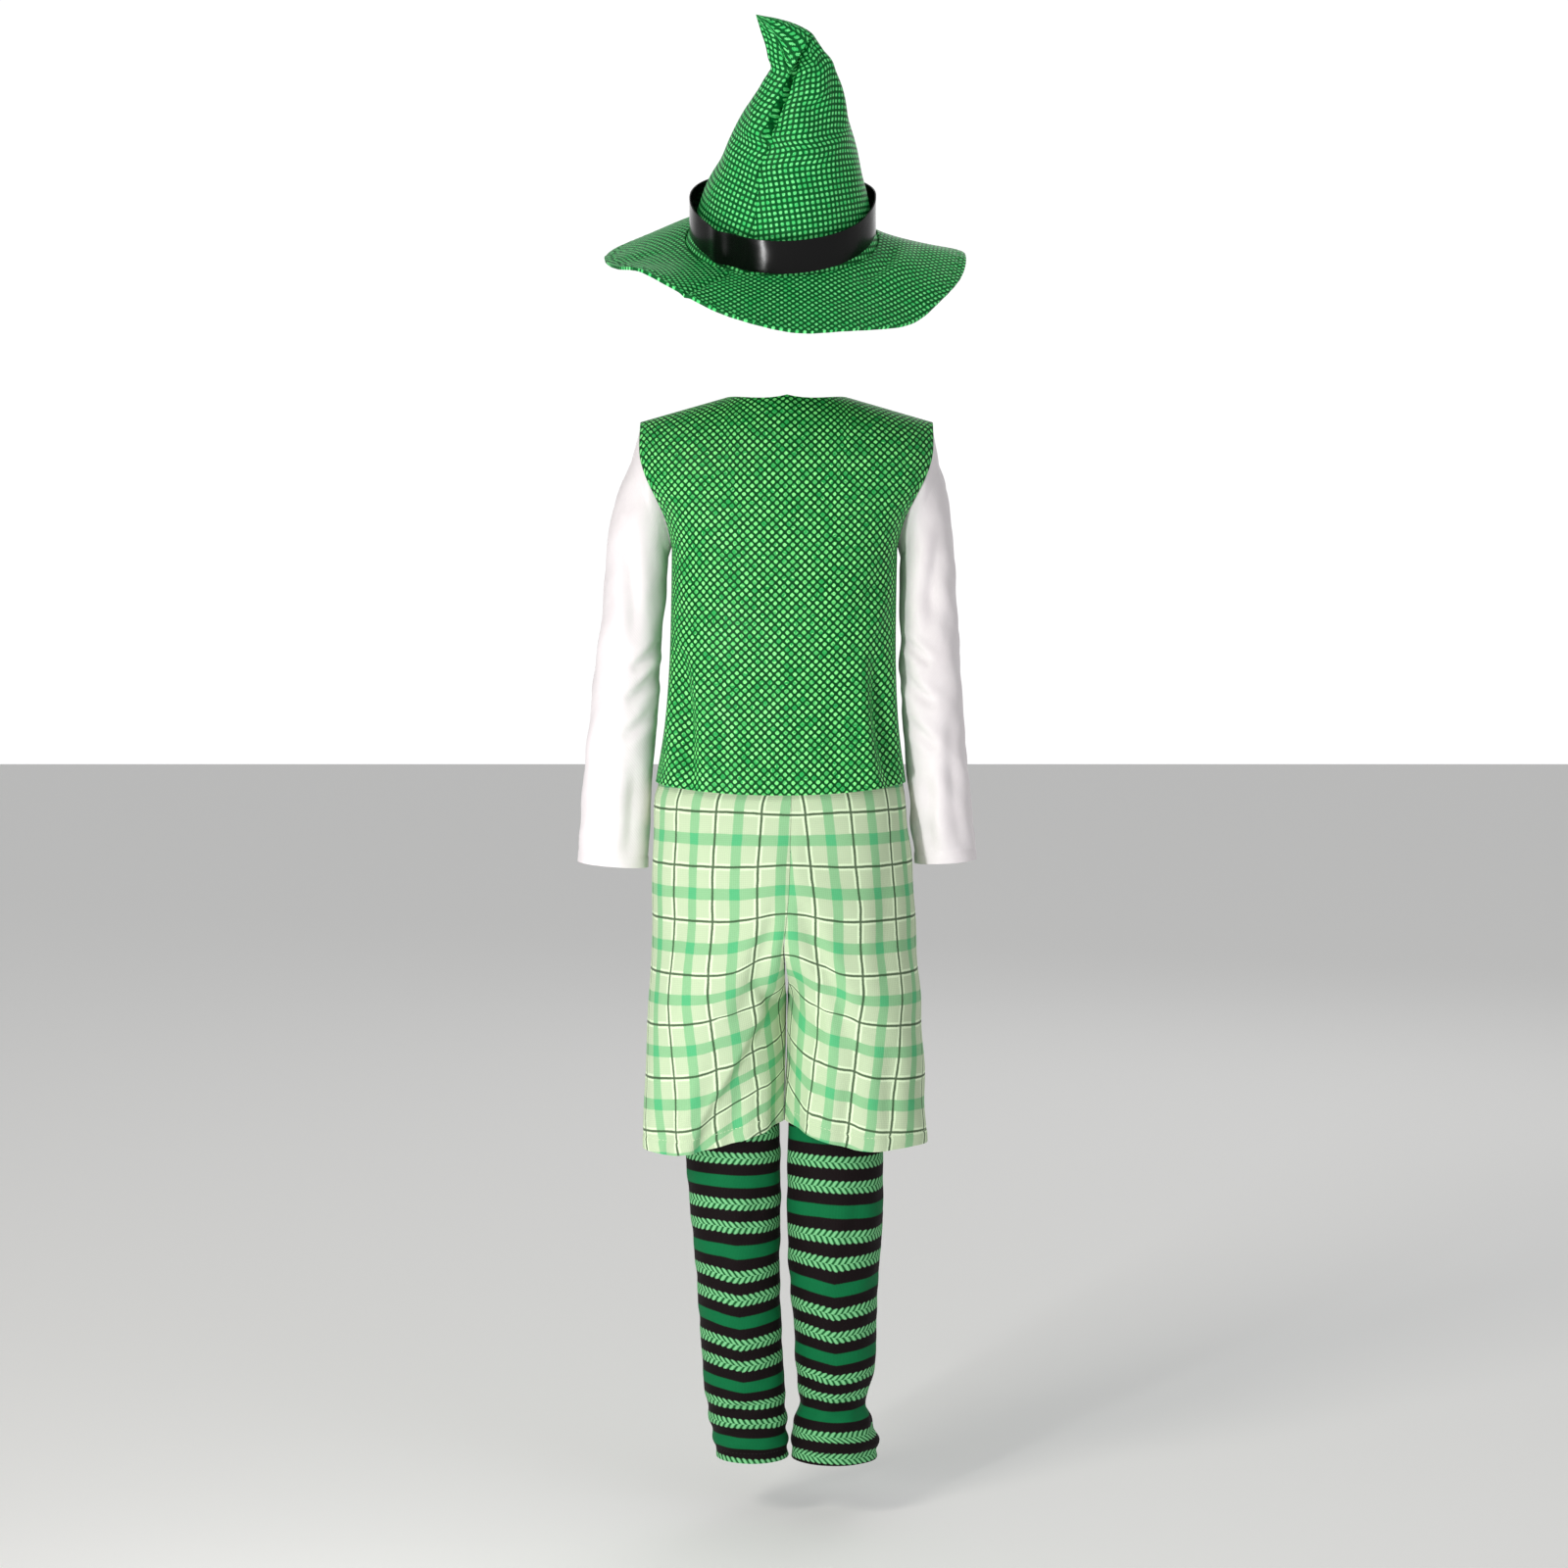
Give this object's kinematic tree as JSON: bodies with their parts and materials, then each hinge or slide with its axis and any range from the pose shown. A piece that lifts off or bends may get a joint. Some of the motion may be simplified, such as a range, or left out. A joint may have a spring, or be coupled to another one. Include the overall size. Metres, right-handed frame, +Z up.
{
  "type": "leprechaun costume with pointed hat",
  "caption": "Child's leprechaun costume in its worn form: pointed hat with a vinyl band, sleeved vest top, plaid shorts and striped lower legs.",
  "frame": {"origin": "in the neck opening, midway between the two shoulder seams, where the costume hangs on its wearer", "axes": "+Z up along the wearer, +Y towards the wearer's back, +X towards the wearer's left"},
  "size_m": [0.3978, 0.3336, 1.4132],
  "materials": {
    "green_dot_cloth": "satin",
    "white_cloth": "satin",
    "plaid_cloth": "matt",
    "striped_jersey": "matt",
    "black_pu": "gloss"
  },
  "bodies": {
    "root": {"hat_crown": "green_dot_cloth", "hat_brim": "green_dot_cloth", "hat_band": "black_pu", "vest_back": "green_dot_cloth", "vest_front": "green_dot_cloth", "sleeve_left": "white_cloth", "sleeve_right": "white_cloth", "waistband": "plaid_cloth", "shorts_left": "plaid_cloth", "shorts_right": "plaid_cloth", "striped_leg_left": "striped_jersey", "striped_leg_right": "striped_jersey"}
  },
  "joints": []
}
